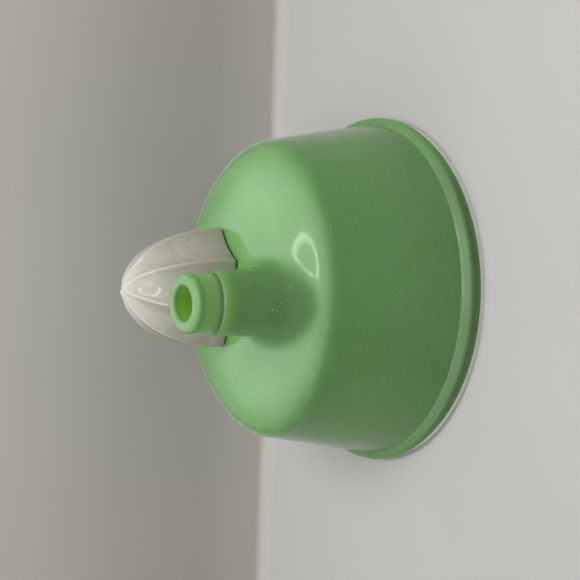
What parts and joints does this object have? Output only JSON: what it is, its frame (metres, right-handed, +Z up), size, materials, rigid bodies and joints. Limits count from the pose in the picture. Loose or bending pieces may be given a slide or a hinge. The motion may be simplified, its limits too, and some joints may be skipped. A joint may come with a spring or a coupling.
{
  "type": "stand mixer juicer attachment",
  "caption": "Round deep glass juicer bowl with a rolled rim and a drain spout, stored upside down, and a ribbed porcelain citrus reamer on a driven spindle.",
  "frame": {"origin": "centre of the ring that the bowl's rim rests on, bottom centre of the bounding box", "axes": "+Z up along the bowl's axis, from the rim to the reamer's tip; the spout stands on the -Y side; +X completes the right-handed set"},
  "size_m": [0.194, 0.194, 0.1435],
  "materials": {
    "jade_glass": "opaque milk glass, pressed, glossy",
    "white_porcelain": "glossy glaze, slightly mottled",
    "spindle_steel": "turned, satin",
    "washer_nylon": "natural nylon, satin"
  },
  "bodies": {
    "bowl": {"juicer_bowl": "jade_glass"},
    "washer": {"thrust_washer": "washer_nylon"},
    "spindle": {"drive_spindle": "spindle_steel", "drive_pin": "spindle_steel"},
    "reamer": {"reamer": "white_porcelain"}
  },
  "joints": [
    {"name": "drive_lift", "type": "slide", "parent": "bowl", "child": "washer", "axis": [0, 0, 1], "range_m": [0, 0.075]},
    {"name": "spindle_spin", "type": "hinge", "parent": "washer", "child": "spindle", "pos_m": [0, 0, 0.0962], "axis": [0, 0, 1], "continuous": true},
    {"name": "reamer_lift", "type": "slide", "parent": "spindle", "child": "reamer", "axis": [0, 0, 1], "range_m": [0, 0.03]}
  ]
}
